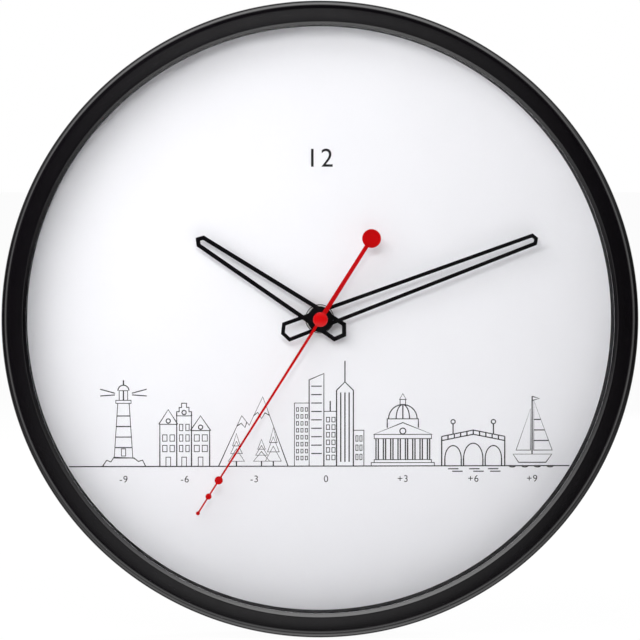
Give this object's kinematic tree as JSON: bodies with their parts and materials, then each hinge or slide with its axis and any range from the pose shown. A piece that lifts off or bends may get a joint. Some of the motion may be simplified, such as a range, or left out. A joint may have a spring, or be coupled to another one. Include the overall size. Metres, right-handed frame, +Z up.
{
  "type": "wall clock",
  "caption": "Round wall clock with a deep black rim, flat glass, white dial with a thin line skyline, outline hands and a quartz movement.",
  "frame": {"origin": "centre of the entry hole of the hanging keyhole, on the wall plane", "axes": "+Y into the wall, the dial faces -Y, +Z up, +X to the right as seen from the front"},
  "size_m": [0.3, 0.04, 0.3],
  "materials": {
    "satin_black_plastic": "satin black moulded plastic",
    "clear_glass": "clear, polished, flat",
    "white_dial_sheet": "matt white sheet with thin grey line print",
    "black_back_plastic": "matt black moulded plastic, fine texture",
    "zinc_steel": "bright zinc plated",
    "movement_plastic": "matt black moulded plastic",
    "brass": "turned brass",
    "black_rubber": "soft black rubber",
    "battery_sleeve": "plain dark printed sleeve on a metal can",
    "nickel": "nickel plated",
    "circuit_laminate": "green laminate",
    "chip_resin": "black moulded resin",
    "soft_iron": "stamped soft iron",
    "bobbin_plastic": "natural white moulded plastic",
    "copper_wire": "enamelled copper wire",
    "magnet": "sintered magnet",
    "gear_plastic": "natural white moulded acetal",
    "knob_plastic": "light grey moulded plastic",
    "black_hand_lacquer": "matt black lacquer on thin sheet",
    "red_hand_lacquer": "satin red lacquer on thin sheet",
    "red_cap_plastic": "red moulded plastic"
  },
  "bodies": {
    "clock_case": {"rim": "satin_black_plastic", "glass_lens": "clear_glass", "spacer_ring": "satin_black_plastic", "dial": "white_dial_sheet", "back_plate": "black_back_plastic", "rim_screws": "zinc_steel", "hanger_bracket": "zinc_steel", "hanger_screws": "zinc_steel", "movement_case": "movement_plastic", "movement_cover": "movement_plastic", "cover_screws": "zinc_steel", "train_plate": "movement_plastic", "rubber_washer": "black_rubber", "dial_washer": "zinc_steel", "fixing_nut": "brass", "positive_contact": "nickel", "negative_contact": "nickel", "circuit_board": "circuit_laminate", "clock_chip": "chip_resin", "quartz_crystal": "nickel", "stator": "soft_iron", "coil_core": "soft_iron", "coil_bobbin": "bobbin_plastic", "coil_winding": "copper_wire"},
    "second_train": {"seconds_wheel": "gear_plastic", "second_hand": "red_hand_lacquer", "second_hand_tube": "brass", "second_hand_cap": "red_cap_plastic"},
    "minute_train": {"minute_tube": "brass", "centre_wheel": "gear_plastic", "clutch_spring": "nickel", "minute_hand": "black_hand_lacquer", "minute_hand_bush": "brass"},
    "hour_train": {"hour_wheel": "gear_plastic", "hour_hand": "black_hand_lacquer", "hour_hand_collet": "brass"},
    "third_wheel": {"third_wheel": "gear_plastic"},
    "minute_wheel": {"minute_wheel": "gear_plastic"},
    "setting_knob": {"setting_pinion": "gear_plastic", "setting_knob": "knob_plastic"},
    "intermediate_wheel": {"intermediate_wheel": "gear_plastic"},
    "rotor": {"rotor_pinion": "gear_plastic", "rotor_magnet": "magnet"},
    "battery": {"battery_cell": "battery_sleeve", "battery_terminal": "nickel"}
  },
  "joints": [
    {"name": "second_spin", "type": "hinge", "parent": "clock_case", "child": "second_train", "pos_m": [0, 0, -0.092], "axis": [0, 1, 0], "continuous": true},
    {"name": "minute_spin", "type": "hinge", "parent": "clock_case", "child": "minute_train", "pos_m": [0, 0, -0.092], "axis": [0, 1, 0], "continuous": true},
    {"name": "hour_spin", "type": "hinge", "parent": "clock_case", "child": "hour_train", "pos_m": [0, 0, -0.092], "axis": [0, 1, 0], "continuous": true},
    {"name": "third_spin", "type": "hinge", "parent": "clock_case", "child": "third_wheel", "pos_m": [-0.01005, 0, -0.09023], "axis": [0, 1, 0], "continuous": true},
    {"name": "minute_wheel_spin", "type": "hinge", "parent": "clock_case", "child": "minute_wheel", "pos_m": [0.008, 0, -0.092], "axis": [0, 1, 0], "continuous": true},
    {"name": "setting_spin", "type": "hinge", "parent": "clock_case", "child": "setting_knob", "pos_m": [0.01522, 0, -0.09617], "axis": [0, 1, 0], "continuous": true},
    {"name": "intermediate_spin", "type": "hinge", "parent": "clock_case", "child": "intermediate_wheel", "pos_m": [0.0054, 0, -0.08265], "axis": [0, 1, 0], "continuous": true},
    {"name": "rotor_spin", "type": "hinge", "parent": "clock_case", "child": "rotor", "pos_m": [0.01035, 0, -0.0777], "axis": [0, 1, 0], "continuous": true},
    {"name": "battery_slide", "type": "slide", "parent": "clock_case", "child": "battery", "axis": [0, 1, 0], "range_m": [0, 0.016]}
  ],
  "couplings": [
    {"joint": "minute_spin", "follows": "second_spin", "ratio": 0.016667},
    {"joint": "hour_spin", "follows": "second_spin", "ratio": 0.0013889},
    {"joint": "third_spin", "follows": "second_spin", "ratio": -0.13333},
    {"joint": "minute_wheel_spin", "follows": "second_spin", "ratio": -0.0055556},
    {"joint": "setting_spin", "follows": "second_spin", "ratio": 0.014286},
    {"joint": "intermediate_spin", "follows": "second_spin", "ratio": -5},
    {"joint": "rotor_spin", "follows": "second_spin", "ratio": 30}
  ]
}
